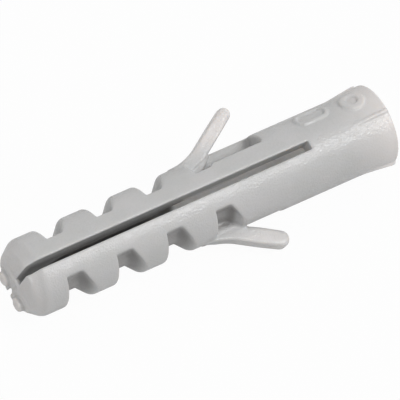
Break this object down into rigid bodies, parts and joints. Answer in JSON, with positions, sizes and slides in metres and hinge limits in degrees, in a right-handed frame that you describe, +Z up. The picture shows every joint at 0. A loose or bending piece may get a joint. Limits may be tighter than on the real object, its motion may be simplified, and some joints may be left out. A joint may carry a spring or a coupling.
{
  "type": "wall plug",
  "caption": "Moulded expansion wall plug with toothed, slit shank, springy tongues, flared ribbed mouth and stepped screw bore.",
  "frame": {"origin": "on the plug axis where the straight screw bore begins, just inside the mouth", "axes": "+X along the plug axis and out of the mouth, +Z up with the plug lying on its belly and one tongue tip"},
  "size_m": [0.04, 0.0134, 0.0082],
  "materials": {
    "moulded_nylon": "fine spark-eroded matt, light grey"
  },
  "bodies": {
    "root": {"wall_plug": "moulded_nylon"}
  },
  "joints": []
}
